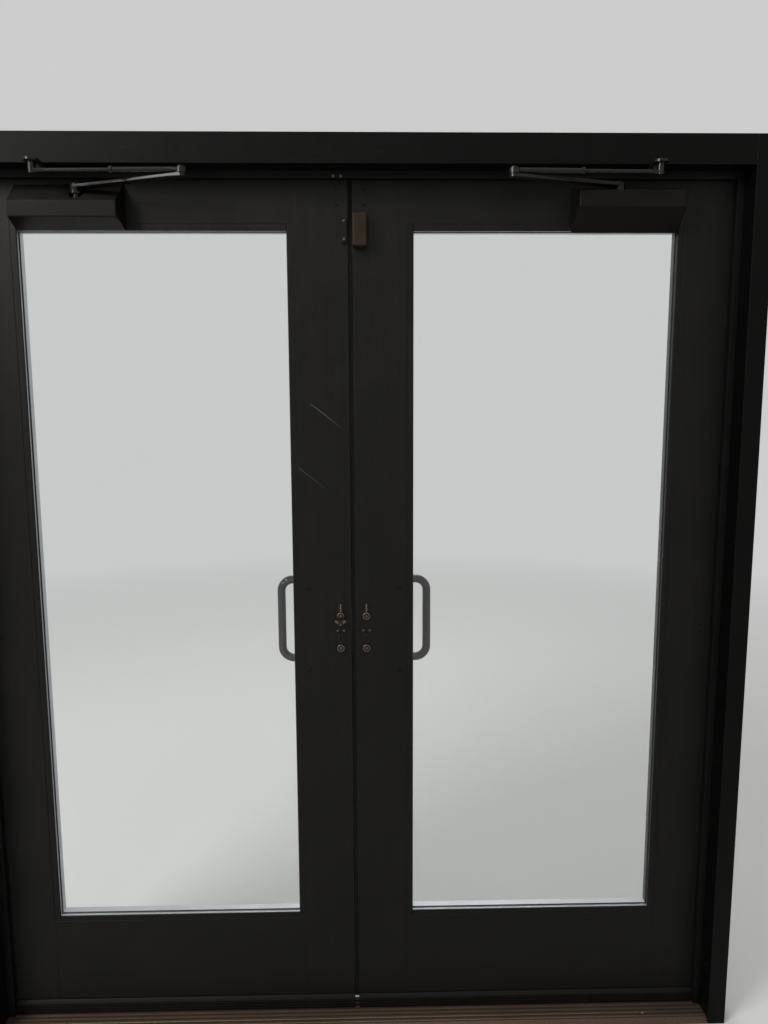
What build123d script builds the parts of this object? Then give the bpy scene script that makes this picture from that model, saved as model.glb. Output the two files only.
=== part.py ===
from build123d import *
import math
import os

# A pair of glazed aluminium entrance doors in their frame, closed.
# Millimetres. X runs to the right as seen from inside, Y outwards, Z up.
# The origin is the middle of the opening at the finished floor, half way through the frame.
# What a leaf carries is drawn for the right leaf, and mirrored for the left one.

os.makedirs("parts", exist_ok=True)

# Opening and frame
opening_width = 1828.8
opening_height = 2133.6
member_width = 44.45
head_height = 66.0
frame_depth = 114.3
tube_wall = 4.8
stop_height = 16.0
stop_depth = 13.5
stop_wall = 2.0
anchor_radius = 4.0
anchor_from_floor = 150.0
anchor_from_head = 183.6
anchor_setback = 30.0

# Threshold
threshold_height = 12.7
threshold_lip = 2.5
threshold_slope = 12.0
flute_pitch = 12.7
flute_height = 1.2
flute_width = 8.6
flute_top = 5.0
flute_count = 7
hollow_width = 16.0
hollow_height = 7.5
hollow_spacing = 32.0
floor_screw_radius = 3.2
floor_screw_head = 6.5
floor_screw_spacing_x = 1500.0
floor_screw_spacing_y = 63.5

# Leaves
leaf_thickness = 44.45
hinge_gap = 2.4
meeting_gap = 10.0
head_gap = 3.0
leaf_bottom = 17.0
stile_width = 127.0
top_rail_height = 110.0
bottom_rail_height = 255.0

# Glazing
glass_setback = 10.0
glass_thickness = 6.0
gasket_thickness = 1.0
gasket_width = 7.0
gasket_proud = 1.0
bead_height = 16.0
bead_setback = 0.8
bead_bevel = 2.0
outer_bead_bevel = 6.0
bead_wall = 2.0
bead_joint = 0.2
edge_cover = 10.0
setting_block_length = 100.0

# Seals
seal_width = 6.0
seal_depth = 2.0
seal_gap = 0.3
stop_reveal = 2.5
meeting_seal_reach = 4.7
meeting_seal_setback = 9.15
groove_depth = 1.5
groove_clearance = 0.2
sweep_height = 33.0
sweep_thickness = 8.0
sweep_end_gap = 1.0
sweep_lip = 4.0
sweep_rib = 1.2

# Hinges
hinge_height = 114.3
hinge_below_leaf_top = 184.6
hinge_above_leaf_bottom = 294.0
hinge_middle = 1044.0
plate_thickness = 3.0
plate_inset = 14.0
plate_clearance = 0.2
knuckle_radius = 7.0
knuckle_count = 5
knuckle_gap = 0.3
face_to_pin = 7.5
pin_radius = 3.95
pin_clearance = 0.1
pin_head_radius = 6.0
pin_head_height = 3.0

# Closers
closer_end = 144.0
closer_length = 251.0
closer_depth = 57.0
closer_height = 100.0
closer_below_leaf_top = 30.6
turned_closer_raise = 5.0
long_bevel = 47.0
short_bevel = 18.0
closer_flange = 4.0
closer_end_taper = 4.0
cover_wall = 2.0
cover_round = 3.0
piston_radius = 22.0
piston_standoff = 29.0
piston_shift = 7.5
piston_margin = 14.0
piston_cap_radius = 15.0
piston_cap_height = 4.0
closer_plate_thickness = 6.0
closer_plate_height = 56.0
closer_plate_margin = 8.0
web_height = 28.0

# Closer arms
spindle_from_hinge = 296.0
spindle_standoff = 33.0
elbow_from_hinge = 550.0
elbow_standoff = 104.0
shoe_from_hinge = 225.0
shoe_standoff = 96.0
spindle_radius = 7.0
spindle_depth = 20.0
spindle_clearance = 0.1
hub_radius = 13.0
hub_drop = 12.0
notch_clearance = 3.0
arm_below_cover_top = 5.0
turned_arm_drop = 6.5
arm_thickness = 7.0
arm_slope_start = 22.0
arm_slope_end = 26.0
elbow_radius = 10.0
nut_radius = 8.0
nut_height = 4.0
stud_radius = 5.0
stud_clearance = 0.1
stud_head_radius = 7.0
stud_head_height = 3.3
joint_gap = 0.3
eye_radius = 12.0
eye_thickness = 11.0
sleeve_radius = 5.5
sleeve_above_arm = 2.5
sleeve_length = 156.0
sleeve_collar_radius = 7.5
sleeve_collar_length = 7.0
clamp_screw_radius = 3.0
clamp_screw_reach = 8.0
clamp_screw_distance = 38.0
rod_radius = 4.0
rod_clearance = 0.1
rod_start = 100.0
ferrule_length = 30.0
ferrule_end_radius = 5.8
barrel_radius = 7.0
barrel_drop = 6.5
shoe_thickness = 5.0
shoe_tip_radius = 16.0
shoe_back_radius = 7.0
shoe_back_width = 30.0
shoe_back_setback = 42.0
shoe_boss_radius = 9.0
shoe_boss_height = 2.3
shoe_screw_spacing = 20.0
shoe_screw_radius = 2.5
shoe_screw_head = 4.5
shoe_screw_head_height = 3.0
shoe_screw_length = 12.0

# Outside pulls
pull_radius = 10.5
pull_bolt_from_middle = 112.0
pull_grip_from_middle = 189.0
pull_projection = 60.0
pull_middle = 1050.0
pull_spacing = 210.0
pull_corner_radius = 30.0
pull_foot_radius = 25.0
pull_hole_depth = 15.0

# Through bolts and their caps
bolt_radius = 4.0
bolt_clearance = 0.25
pull_cap_radius = 6.5
pull_cap_height = 2.0
lock_cap_radius = 9.3
lock_cap_height = 7.0
cap_round = 1.2
socket_radius = 3.2
socket_depth = 1.5
lock_bolt_length = 10.0

# Fittings on the lock stiles
lock_line = 32.0
lock_axis_height = 1070.5
upper_bolt_above_lock = 14.0
lower_bolt_below_lock = 68.0
lock_screws_below_lock = 23.5
lock_screw_spacing = 16.0
slot_plate_width = 13.0
slot_plate_height = 25.0
slot_plate_below_lock = 43.5
slot_width = 5.0
slot_length = 16.0
plate_proud = 2.5
bar_width = 11.0
bar_height = 21.0
bar_above_lock = 34.5
bar_proud = 4.0
corner_screws_below_leaf_top = (32.6, 67.4)
hinge_screw_setback = 40.0
hinge_screw_spacing = 20.0
face_screw_radius = 1.6
face_screw_head = 3.2
face_screw_head_height = 1.8
face_screw_length = 9.0
face_screw_clearance = 0.15
strike_screws = (-37.0, -20.0)
strike_screw_height = 3.8

# Lock of the left leaf and strike of the right leaf
bolt_pivot_setback = 14.0
bolt_pivot_below_lock = 18.5
swing_bolt_reach = 42.0
swing_bolt_width = 15.0
swing_bolt_heel = 8.0
swing_bolt_thickness = 9.0
swing_bolt_clearance = 0.1
case_length = 44.5
case_thickness = 14.0
case_wall = 1.5
case_below_lock = 70.5
case_above_lock = 39.5
pivot_radius = 3.0
front_plate_thickness = 2.5
front_plate_width = 19.0
front_plate_margin = 13.0
slot_clearance = 1.0
cut_clearance = 0.1
turn_radius = 4.0
turn_clearance = 0.3
turn_standoff = 14.0
turn_thickness = 8.0
wing_reach = 10.5
wing_rise = 6.0
wing_radius = 4.2
wing_hub_radius = 6.0
wing_round = 1.5
cylinder_radius = 11.0
cylinder_ring_radius = 15.0
cylinder_ring_height = 4.0
plug_radius = 6.5
plug_proud = 0.8
keyway_width = 1.6
keyway_height = 9.0
keyway_depth = 3.0

# Door contact at the top
housing_setback = 1.0
housing_width = 33.0
housing_height = 74.0
housing_depth = 25.0
housing_below_leaf_top = 126.6
housing_wall = 1.8
housing_round = 3.0
magnet_setback = 3.5
magnet_width = 12.0
magnet_height = 57.0
magnet_depth = 8.0
magnet_below_leaf_top = 125.1
magnet_screw_spacing = 41.0

# Planes and levels that follow from the sizes above
half_opening = opening_width / 2
hinge_edge = half_opening - hinge_gap
meeting_edge = meeting_gap / 2
lock_stile_inner = meeting_edge + stile_width
hinge_stile_inner = hinge_edge - stile_width
outside_face = frame_depth / 2
inside_face = outside_face - leaf_thickness
leaf_middle = (inside_face + outside_face) / 2
leaf_top = opening_height - head_gap
leaf_height = leaf_top - leaf_bottom
daylight_low = leaf_bottom + bottom_rail_height
daylight_high = leaf_top - top_rail_height
glass_inside = inside_face + glass_setback
glass_outside = glass_inside + glass_thickness
stop_outer = inside_face - stop_reveal
stop_inner = stop_outer - stop_depth
hinge_heights = (leaf_top - hinge_below_leaf_top, hinge_middle, leaf_bottom + hinge_above_leaf_bottom)
hinge_axis_x = hinge_edge + hinge_gap / 2
hinge_axis_y = outside_face + face_to_pin
plate_start = inside_face + plate_inset
anchor_middle = (anchor_from_floor + opening_height - anchor_from_head) / 2
anchor_spread = opening_height - anchor_from_head - anchor_from_floor
closer_middle = hinge_edge - closer_end - closer_length / 2
closer_top = {"right": leaf_top - closer_below_leaf_top}
closer_top["left"] = closer_top["right"] + turned_closer_raise
closer_centre = {hand: top - closer_height / 2 for hand, top in closer_top.items()}
spindle_at = Vector(hinge_edge - spindle_from_hinge, inside_face - spindle_standoff)
elbow_at = Vector(hinge_edge - elbow_from_hinge, inside_face - elbow_standoff)
shoe_at = Vector(hinge_edge - shoe_from_hinge, inside_face - shoe_standoff)
elbow_bottom = closer_top["right"] - arm_below_cover_top
elbow_top = elbow_bottom + arm_thickness
arm_bottom = {"right": elbow_bottom, "left": elbow_bottom - turned_arm_drop}
forearm_height = elbow_top + sleeve_radius + sleeve_above_arm
barrel_bottom = forearm_height - barrel_drop
barrel_top = opening_height - shoe_thickness - shoe_boss_height - joint_gap
pull_top = pull_middle + pull_spacing / 2
pull_bottom = pull_middle - pull_spacing / 2
pull_line = outside_face + pull_projection
bolt_pivot_x = meeting_edge + bolt_pivot_setback
bolt_pivot_height = lock_axis_height - bolt_pivot_below_lock
case_bottom = lock_axis_height - case_below_lock
case_top = lock_axis_height + case_above_lock
case_middle = (case_bottom + case_top) / 2
case_start = meeting_edge + front_plate_thickness
slot_low = bolt_pivot_height - swing_bolt_heel - slot_clearance
slot_high = bolt_pivot_height + swing_bolt_reach + slot_clearance

# The room side of the leaves: local x is X, local y is Z, and the normal points into the room
room_side = Plane(origin=(0, inside_face, 0), x_dir=(1, 0, 0), z_dir=(0, -1, 0))
lock_screw_height = lock_axis_height - lock_screws_below_lock
lock_screw_points = [(lock_line + side * lock_screw_spacing / 2, lock_screw_height) for side in (-1, 1)]
corner_screw_points = [(lock_line, leaf_top - setback) for setback in corner_screws_below_leaf_top]
hinge_screw_points = [
    (hinge_edge - hinge_screw_setback, hinge_middle + side * hinge_screw_spacing / 2) for side in (-1, 1)
]
magnet_x = meeting_edge + magnet_setback + magnet_width / 2
magnet_middle = leaf_top - magnet_below_leaf_top
magnet_screw_points = [(magnet_x, magnet_middle + side * magnet_screw_spacing / 2) for side in (-1, 1)]
lock_bolt_points = [
    (lock_line, lock_axis_height + upper_bolt_above_lock),
    (lock_line, lock_axis_height - lower_bolt_below_lock),
]
pull_bolt_points = [(pull_bolt_from_middle, pull_top), (pull_bolt_from_middle, pull_bottom)]


def save(piece, name):
    piece.label = name
    export_step(piece, f"parts/{name}.step")


def other_hand(piece):
    """The same piece for the left leaf."""
    with BuildPart() as opposite:
        mirror(piece, about=Plane.YZ)
    return opposite.part


def tube(start, x_dir, z_dir, width, height, length):
    """Hollow rectangular extrusion: local x is its width, and it runs along z_dir."""
    with BuildPart() as extrusion:
        with BuildSketch(Plane(origin=start, x_dir=x_dir, z_dir=z_dir)):
            Rectangle(width, height)
            Rectangle(width - 2 * tube_wall, height - 2 * tube_wall, mode=Mode.SUBTRACT)
        extrude(amount=length)
    return extrusion.part


def upright_tube(x_low, x_high, y_low, y_high, z_low, z_high):
    start = ((x_low + x_high) / 2, (y_low + y_high) / 2, z_low)
    return tube(start, (1, 0, 0), (0, 0, 1), x_high - x_low, y_high - y_low, z_high - z_low)


def cross_tube(x_low, x_high, y_low, y_high, z_low, z_high):
    start = (x_low, (y_low + y_high) / 2, (z_low + z_high) / 2)
    return tube(start, (0, 1, 0), (1, 0, 0), y_high - y_low, z_high - z_low, x_high - x_low)


def block(x_low, x_high, y_low, y_high, z_low, z_high):
    with BuildPart() as solid:
        with BuildSketch(Plane.XY.offset(z_low)):
            with Locations(((x_low + x_high) / 2, (y_low + y_high) / 2)):
                Rectangle(x_high - x_low, y_high - y_low)
        extrude(amount=z_high - z_low)
    return solid.part


# Frame

def jamb():
    """Right jamb with the mortises of its hinge plates and the holes of its wall anchors."""
    with BuildPart() as member:
        add(upright_tube(half_opening, half_opening + member_width, -outside_face, outside_face,
                         0, opening_height + head_height))
        with BuildSketch(Plane.YZ.offset(half_opening)):
            with Locations(*[((plate_start + outside_face) / 2, height) for height in hinge_heights]):
                Rectangle(outside_face - plate_start, hinge_height + 2 * plate_clearance)
        extrude(amount=plate_thickness, mode=Mode.SUBTRACT)
        with BuildSketch(Plane.YZ.offset(half_opening)):
            with Locations((-anchor_setback, anchor_middle)):
                with GridLocations(0, anchor_spread / 3, 1, 4):
                    Circle(anchor_radius)
        extrude(amount=member_width, mode=Mode.SUBTRACT)
    return member.part


def head_member():
    with BuildPart() as member:
        add(cross_tube(-half_opening, half_opening, -outside_face, outside_face,
                       opening_height, opening_height + head_height))
        with BuildSketch(Plane.XY.offset(opening_height)):
            with Locations(*shoe_screw_points()):
                Circle(shoe_screw_radius + face_screw_clearance)
        extrude(amount=tube_wall, mode=Mode.SUBTRACT)
    return member.part


def stop_section(plane):
    """Hollow stop, open to the member, with the groove of its seal: local y points away from the member."""
    with BuildSketch(plane) as section:
        with Locations(((stop_inner + stop_outer) / 2, stop_height / 2)):
            Rectangle(stop_depth, stop_height)
        hollow_outer = stop_outer - seal_depth - stop_wall
        with Locations(((stop_inner + stop_wall + hollow_outer) / 2, (stop_height - stop_wall) / 2)):
            Rectangle(hollow_outer - stop_inner - stop_wall, stop_height - stop_wall, mode=Mode.SUBTRACT)
        with Locations((stop_outer - seal_depth / 2, stop_height / 2)):
            Rectangle(seal_depth, seal_width + 2 * groove_clearance, mode=Mode.SUBTRACT)
    return section.sketch


def jamb_stop():
    with BuildPart() as strip:
        plane = Plane(origin=(half_opening, 0, threshold_height), x_dir=(0, 1, 0), z_dir=(0, 0, 1))
        extrude(stop_section(plane), amount=opening_height - stop_height - threshold_height)
    return strip.part


def head_stop():
    with BuildPart() as strip:
        plane = Plane(origin=(half_opening, 0, opening_height), x_dir=(0, 1, 0), z_dir=(-1, 0, 0))
        extrude(stop_section(plane), amount=opening_width)
        with BuildSketch(Plane.XZ.offset(-stop_inner)):
            with Locations(*strike_screw_points()):
                Circle(face_screw_radius + face_screw_clearance)
        extrude(amount=-stop_wall, mode=Mode.SUBTRACT)
    return strip.part


def seal_section(plane):
    with BuildSketch(plane) as section:
        low = stop_outer - seal_depth
        high = inside_face - seal_gap
        with Locations(((low + high) / 2, stop_height / 2)):
            Rectangle(high - low, seal_width)
        nose = section.vertices().group_by(Axis.Y)[-1]
        chamfer(nose, length=1.5)
    return section.sketch


def stop_seals():
    with BuildPart() as seals:
        side = Plane(origin=(half_opening, 0, threshold_height), x_dir=(0, 1, 0), z_dir=(0, 0, 1))
        extrude(seal_section(side), amount=opening_height - stop_height - threshold_height)
        mirror(about=Plane.YZ)
        over = Plane(origin=(half_opening, 0, opening_height), x_dir=(0, 1, 0), z_dir=(-1, 0, 0))
        extrude(seal_section(over), amount=opening_width)
    return seals.part


def threshold():
    """Fluted saddle: ramps in front and behind, ridges on its top and hollows underneath."""
    flute_floor = threshold_height - flute_height
    half_depth = frame_depth / 2
    with BuildPart() as saddle:
        with BuildSketch(Plane.YZ.offset(-half_opening)) as section:
            with BuildLine():
                Polyline(
                    (-half_depth, 0), (-half_depth, threshold_lip),
                    (-half_depth + threshold_slope, flute_floor), (half_depth - threshold_slope, flute_floor),
                    (half_depth, threshold_lip), (half_depth, 0), close=True,
                )
            make_face()
            with Locations((0, flute_floor)):
                with GridLocations(flute_pitch, 0, flute_count, 1):
                    ridge_side = math.degrees(math.atan2(flute_height, (flute_width - flute_top) / 2))
                    Trapezoid(flute_width, flute_height, ridge_side, align=(Align.CENTER, Align.MIN))
            with Locations((0, hollow_height / 2)):
                with GridLocations(hollow_spacing, 0, 2, 1):
                    Rectangle(hollow_width, hollow_height, mode=Mode.SUBTRACT)
        extrude(amount=opening_width)
        with Locations(Plane.XY.offset(flute_floor)):
            with GridLocations(floor_screw_spacing_x, floor_screw_spacing_y, 2, 2):
                CounterSinkHole(floor_screw_radius, floor_screw_head)
    return saddle.part


def shoe_screw_points():
    middle = -outside_face + shoe_back_setback / 2
    return [
        (side * shoe_at.X, middle + step * shoe_screw_spacing / 2) for side in (-1, 1) for step in (-1, 1)
    ]


def strike_screw_points():
    return [(x, opening_height - stop_height + strike_screw_height) for x in strike_screws]


def frame_screws():
    """Pan-head screws of the two shoes, and the two in the face of the head stop."""
    under_plate = opening_height - shoe_thickness
    with BuildPart() as screws:
        with BuildSketch(Plane.XY.offset(under_plate)):
            with Locations(*shoe_screw_points()):
                Circle(shoe_screw_radius)
        extrude(amount=shoe_screw_length)
        with BuildSketch(Plane.XY.offset(under_plate)):
            with Locations(*shoe_screw_points()):
                Circle(shoe_screw_head)
        extrude(amount=-shoe_screw_head_height)
        with BuildSketch(Plane.XZ.offset(-stop_inner)):
            with Locations(*strike_screw_points()):
                Circle(face_screw_radius)
        extrude(amount=-face_screw_length)
        with BuildSketch(Plane.XZ.offset(-stop_inner)):
            with Locations(*strike_screw_points()):
                Circle(face_screw_head)
        extrude(amount=face_screw_head_height)
    return screws.part


def arm_shoe():
    """Plate under the head, whose tip stands out in front of it with the boss of the forearm's pivot."""
    back_y = -outside_face + shoe_back_setback - shoe_back_radius
    back_x = shoe_back_width / 2 - shoe_back_radius
    with BuildPart() as shoe:
        with BuildSketch(Plane.XY.offset(opening_height)):
            with Locations((shoe_at.X, shoe_at.Y)):
                Circle(shoe_tip_radius)
            with Locations((shoe_at.X - back_x, back_y), (shoe_at.X + back_x, back_y)):
                Circle(shoe_back_radius)
            make_hull()
        extrude(amount=-shoe_thickness)
        with BuildSketch(Plane.XY.offset(opening_height - shoe_thickness)):
            with Locations((shoe_at.X, shoe_at.Y)):
                Circle(shoe_boss_radius)
        extrude(amount=-shoe_boss_height)
        with BuildSketch(Plane.XY.offset(opening_height)):
            with Locations(*shoe_screw_points()[2:]):
                Circle(shoe_screw_radius + face_screw_clearance)
        extrude(amount=-shoe_thickness, mode=Mode.SUBTRACT)
    return shoe.part


# Hinges

def hinge_plates(plate_x, knuckles):
    """Three hinge plates that end in their knuckles round the pin."""
    pitch = hinge_height / knuckle_count
    tang_start = outside_face - plate_thickness
    with BuildPart() as plates:
        for middle in hinge_heights:
            low = middle - hinge_height / 2
            with BuildSketch(Plane.XY.offset(low)):
                with Locations((plate_x, (plate_start + outside_face) / 2)):
                    Rectangle(plate_thickness, outside_face - plate_start)
            extrude(amount=hinge_height)
            for index in knuckles:
                with BuildSketch(Plane.XY.offset(low + index * pitch + knuckle_gap / 2)):
                    with Locations((plate_x, (tang_start + hinge_axis_y) / 2)):
                        Rectangle(plate_thickness, hinge_axis_y - tang_start)
                    with Locations((hinge_axis_x, hinge_axis_y)):
                        Circle(knuckle_radius)
                        Circle(pin_radius + pin_clearance, mode=Mode.SUBTRACT)
                extrude(amount=pitch - knuckle_gap)
    return plates.part


def frame_hinge_plates():
    with BuildPart() as plates:
        add(hinge_plates(half_opening + plate_thickness / 2, (0, 2, 4)))
        mirror(about=Plane.YZ)
    return plates.part


def hinge_pins():
    with BuildPart() as pins:
        for middle in hinge_heights:
            top = middle + hinge_height / 2
            with BuildSketch(Plane.XY.offset(top)):
                with Locations((hinge_axis_x, hinge_axis_y)):
                    Circle(pin_radius)
            extrude(amount=-hinge_height)
            for end, way in ((top, 1), (top - hinge_height, -1)):
                with BuildSketch(Plane.XY.offset(end)):
                    with Locations((hinge_axis_x, hinge_axis_y)):
                        Circle(pin_head_radius)
                extrude(amount=way * pin_head_height, taper=20)
        mirror(about=Plane.YZ)
    return pins.part


# Leaf extrusions and glazing

def hinge_stile():
    with BuildPart() as stile:
        add(upright_tube(hinge_stile_inner, hinge_edge, inside_face, outside_face, leaf_bottom, leaf_top))
        with BuildSketch(Plane.YZ.offset(hinge_edge)):
            with Locations(*[((plate_start + outside_face) / 2, height) for height in hinge_heights]):
                Rectangle(outside_face - plate_start, hinge_height + 2 * plate_clearance)
        extrude(amount=-plate_thickness, mode=Mode.SUBTRACT)
        with BuildSketch(room_side):
            with Locations(*hinge_screw_points):
                Circle(face_screw_radius + face_screw_clearance)
        extrude(amount=-tube_wall, mode=Mode.SUBTRACT)
    return stile.part


def lock_stile(hand):
    """The left one has the cut-out of the lock case, and the right one the mouth of the strike."""
    with BuildPart() as stile:
        add(upright_tube(meeting_edge, lock_stile_inner, inside_face, outside_face, leaf_bottom, leaf_top))
        with BuildSketch(Plane.YZ.offset(meeting_edge)):
            with Locations((outside_face - meeting_seal_setback, (leaf_bottom + leaf_top) / 2)):
                Rectangle(seal_width + 2 * groove_clearance, leaf_height)
        extrude(amount=groove_depth, mode=Mode.SUBTRACT)
        with BuildSketch(Plane.YZ.offset(meeting_edge)):
            with Locations((leaf_middle, front_plate_middle(hand))):
                Rectangle(front_plate_width + 2 * cut_clearance, front_plate_length(hand) + 2 * cut_clearance)
        extrude(amount=front_plate_thickness, mode=Mode.SUBTRACT)
        with BuildSketch(Plane.YZ.offset(case_start)):
            if hand == "left":
                with Locations((leaf_middle, case_middle)):
                    Rectangle(case_thickness + 2 * cut_clearance, case_top - case_bottom + 2 * cut_clearance)
            else:
                with Locations((leaf_middle, (slot_low + slot_high) / 2)):
                    mouth_width = swing_bolt_thickness + 4 * slot_clearance
                    Rectangle(mouth_width, slot_high - slot_low + slot_clearance)
        extrude(amount=tube_wall - front_plate_thickness, mode=Mode.SUBTRACT)
        with BuildSketch(room_side):
            with Locations(*lock_bolt_points):
                Circle(bolt_radius + bolt_clearance)
            with Locations(*lock_screw_points, *corner_screw_points):
                Circle(face_screw_radius + face_screw_clearance)
            if hand == "left":
                with Locations(*magnet_screw_points):
                    Circle(face_screw_radius + face_screw_clearance)
                with Locations((lock_line, lock_axis_height)):
                    Circle(turn_radius + turn_clearance)
        extrude(amount=-tube_wall, mode=Mode.SUBTRACT)
        with BuildSketch(room_side):
            with Locations(*pull_bolt_points):
                Circle(bolt_radius + bolt_clearance)
        extrude(amount=-leaf_thickness, mode=Mode.SUBTRACT)
        if hand == "left":
            with BuildSketch(room_side.offset(-leaf_thickness)):
                with Locations((lock_line, lock_axis_height)):
                    Circle(cylinder_radius + turn_clearance)
            extrude(amount=tube_wall, mode=Mode.SUBTRACT)
    return stile.part


def glazing_beads():
    """Four beads inside and four outside the pane: each section's local y points at the pane's middle."""
    corner = bead_height + bead_joint
    across = hinge_stile_inner - lock_stile_inner - 2 * corner
    upright = daylight_high - daylight_low
    runs = (
        ((lock_stile_inner + corner, 0, daylight_low), (1, 0, 0), across),
        ((hinge_stile_inner - corner, 0, daylight_high), (-1, 0, 0), across),
        ((hinge_stile_inner, 0, daylight_low), (0, 0, 1), upright),
        ((lock_stile_inner, 0, daylight_high), (0, 0, -1), upright),
    )
    inner_low = inside_face + bead_setback
    inner_high = glass_inside - gasket_thickness
    outer_low = glass_outside + gasket_thickness
    outer_high = outside_face - bead_setback
    with BuildPart() as beads:
        for start, way, length in runs:
            with BuildSketch(Plane(origin=start, x_dir=(0, 1, 0), z_dir=way)):
                with BuildLine():
                    Polyline(
                        (inner_low, 0), (inner_high, 0), (inner_high, bead_height),
                        (inner_low + bead_bevel, bead_height), (inner_low, bead_height - bead_bevel),
                        close=True,
                    )
                make_face()
                with BuildLine():
                    Polyline(
                        (outer_low, 0), (outer_high, 0), (outer_high, bead_height - outer_bead_bevel),
                        (outer_high - outer_bead_bevel, bead_height), (outer_low, bead_height), close=True,
                    )
                make_face()
                hollow_top = bead_height - outer_bead_bevel
                with Locations(((outer_low + outer_high) / 2, hollow_top / 2)):
                    Rectangle(outer_high - outer_low - 2 * bead_wall, hollow_top, mode=Mode.SUBTRACT)
            extrude(amount=length)
    return beads.part


def glass_pane():
    margin = bead_height - edge_cover
    return block(lock_stile_inner + margin, hinge_stile_inner - margin, glass_inside, glass_outside,
                 daylight_low + margin, daylight_high - margin)


def glazing_gaskets():
    """A ring of gasket on each face of the pane, a little proud of the beads."""
    lip = bead_height + gasket_proud
    middle = ((lock_stile_inner + hinge_stile_inner) / 2, (daylight_low + daylight_high) / 2)
    width = hinge_stile_inner - lock_stile_inner - 2 * lip
    height = daylight_high - daylight_low - 2 * lip
    with BuildPart() as gaskets:
        for face, way in ((glass_inside, 1), (glass_outside, -1)):
            with BuildSketch(Plane.XZ.offset(-face)):
                with Locations(middle):
                    Rectangle(width + 2 * gasket_width, height + 2 * gasket_width)
                    Rectangle(width, height, mode=Mode.SUBTRACT)
            extrude(amount=way * gasket_thickness)
    return gaskets.part


def setting_blocks():
    """Two blocks at the quarter points, between the bottom rail and the pane."""
    margin = bead_height - edge_cover
    width = hinge_stile_inner - lock_stile_inner
    with BuildPart() as blocks:
        with BuildSketch(Plane.XY.offset(daylight_low)):
            with Locations(((lock_stile_inner + hinge_stile_inner) / 2, (glass_inside + glass_outside) / 2)):
                with GridLocations(width / 2, 0, 2, 1):
                    Rectangle(setting_block_length, glass_thickness)
        extrude(amount=margin)
    return blocks.part


def meeting_seal():
    y = outside_face - meeting_seal_setback
    return block(meeting_edge - meeting_seal_reach, meeting_edge + groove_depth,
                 y - seal_width / 2, y + seal_width / 2, leaf_bottom, leaf_top)


def bottom_sweep():
    """Ribbed strip on the room side of the bottom rail, with a lip that all but touches the threshold."""
    low = leaf_bottom
    high = leaf_bottom + sweep_height
    front = inside_face - sweep_thickness
    lip_bottom = threshold_height + seal_gap
    start = meeting_edge + sweep_end_gap
    end = half_opening - stop_height - sweep_end_gap
    with BuildPart() as sweep_strip:
        with BuildSketch(Plane.YZ.offset(start)):
            with BuildLine():
                Polyline(
                    (inside_face, low), (inside_face, high), (inside_face - 2 * sweep_rib, high),
                    (front, high - sweep_thickness), (front, low), close=True,
                )
            make_face()
            with Locations((front + sweep_rib / 2, (low + high - sweep_thickness) / 2)):
                with GridLocations(0, sweep_thickness, 1, 3):
                    Rectangle(sweep_rib, 2 * sweep_rib, mode=Mode.SUBTRACT)
            with Locations(((front + inside_face) / 2, (lip_bottom + low) / 2)):
                Rectangle(sweep_lip, low - lip_bottom)
        extrude(amount=end - start)
    return sweep_strip.part


# Closer

def closer_section(hand):
    """The closer is one product: turned half round on the left leaf, its long bevel comes out on top."""
    front = inside_face - closer_depth
    flange = inside_face - closer_flange
    half = closer_height / 2
    points = [
        (inside_face, -half), (flange, -half), (front, long_bevel - half),
        (front, half - short_bevel), (flange, half), (inside_face, half),
    ]
    way = 1 if hand == "right" else -1
    return [(y, closer_centre[hand] + way * z) for y, z in points]


def closer_cover(hand):
    half = closer_length / 2
    with BuildPart() as cover:
        with BuildSketch(Plane.YZ.offset(closer_middle - half)):
            with BuildLine():
                Polyline(*closer_section(hand), close=True)
            make_face()
        extrude(amount=closer_length)
        with BuildSketch(Plane(origin=(closer_middle, inside_face, closer_centre[hand]))):
            with BuildLine():
                Polyline(
                    (-half, 0), (half, 0), (half - closer_end_taper, -closer_depth),
                    (-half + closer_end_taper, -closer_depth), close=True,
                )
            make_face()
        extrude(amount=closer_height, both=True, mode=Mode.INTERSECT)
        rim = inside_face - closer_flange - 1
        fillet(cover.edges().filter_by(lambda edge: edge.center().Y < rim), radius=cover_round)
        offset(amount=-cover_wall, openings=cover.faces().sort_by(Axis.Y)[-1])
        with BuildSketch(Plane.XY.offset(closer_centre[hand])):
            with Locations((spindle_at.X, spindle_at.Y)):
                Circle(hub_radius + notch_clearance)
        extrude(amount=closer_height, mode=Mode.SUBTRACT)
    return cover.part


def closer_body(hand):
    """Cast body: mounting plate, web, cylinder with its end plugs and the bore of the spindle."""
    centre = closer_centre[hand]
    axis_height = centre + piston_shift if hand == "right" else centre - piston_shift
    start = closer_middle - closer_length / 2 + piston_margin
    length = closer_length - 2 * piston_margin
    axis_y = inside_face - piston_standoff
    half_plate = closer_length / 2 - closer_plate_margin
    with BuildPart() as body:
        add(block(closer_middle - half_plate, closer_middle + half_plate,
                  inside_face - closer_plate_thickness, inside_face,
                  centre - closer_plate_height / 2, centre + closer_plate_height / 2))
        add(block(start + piston_margin, start + length - piston_margin, axis_y, inside_face,
                  axis_height - web_height / 2, axis_height + web_height / 2))
        with BuildSketch(Plane(origin=(start, axis_y, axis_height), x_dir=(0, 1, 0), z_dir=(1, 0, 0))):
            Circle(piston_radius)
        extrude(amount=length)
        for end, way in ((start, -1), (start + length, 1)):
            with BuildSketch(Plane(origin=(end, axis_y, axis_height), x_dir=(0, 1, 0), z_dir=(way, 0, 0))):
                RegularPolygon(piston_cap_radius, 6)
            extrude(amount=piston_cap_height)
        with BuildSketch(Plane.XY.offset(spindle_bottom(hand))):
            with Locations((spindle_at.X, spindle_at.Y)):
                Circle(spindle_radius + spindle_clearance)
        extrude(amount=closer_height, mode=Mode.SUBTRACT)
    return body.part


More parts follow.
